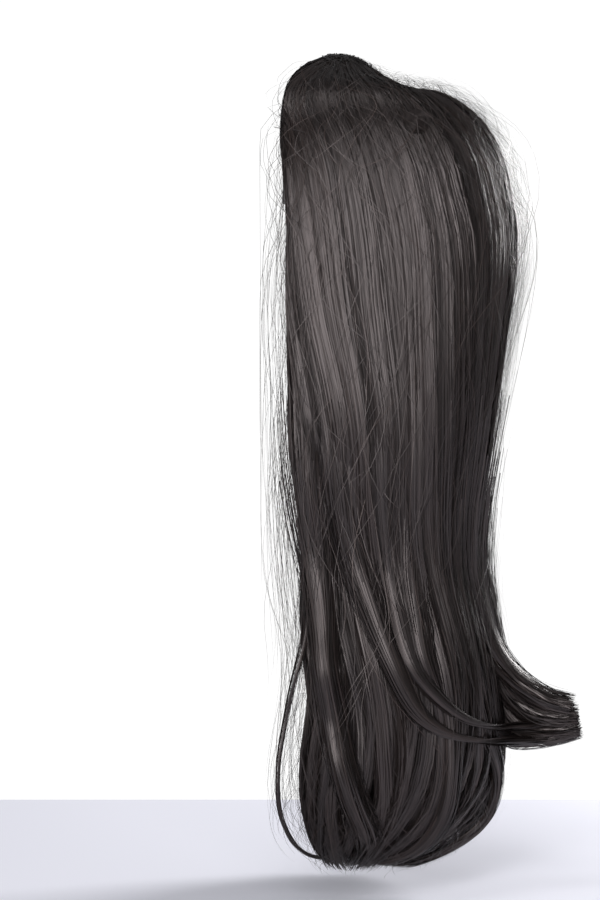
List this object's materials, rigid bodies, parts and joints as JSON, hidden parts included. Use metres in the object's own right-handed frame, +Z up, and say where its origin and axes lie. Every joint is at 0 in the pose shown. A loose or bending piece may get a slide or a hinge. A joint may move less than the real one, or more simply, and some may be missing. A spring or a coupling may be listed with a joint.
{
  "type": "claw clip ponytail hairpiece",
  "caption": "Long dark wavy ponytail hairpiece sewn to a plastic claw clip, which grips the wearer's own gathered hair.",
  "frame": {"origin": "middle of the claw clip's grip, where the wearer's own gathered hair goes", "axes": "+Z up along the wearer's standing height, -X the way the wearer faces, +Y towards the wearer's right"},
  "size_m": [0.2004, 0.1926, 0.5407],
  "materials": {
    "claw_clip": "moulded, dark brown-black",
    "hair": "glossy synthetic hair fibre, near-black brown"
  },
  "bodies": {
    "root": {"claw_clip": "claw_clip", "crown_puff": "hair", "left_front_fall": "hair", "left_fall": "hair", "rear_fall": "hair", "right_fall": "hair", "right_front_fall": "hair"}
  },
  "joints": []
}
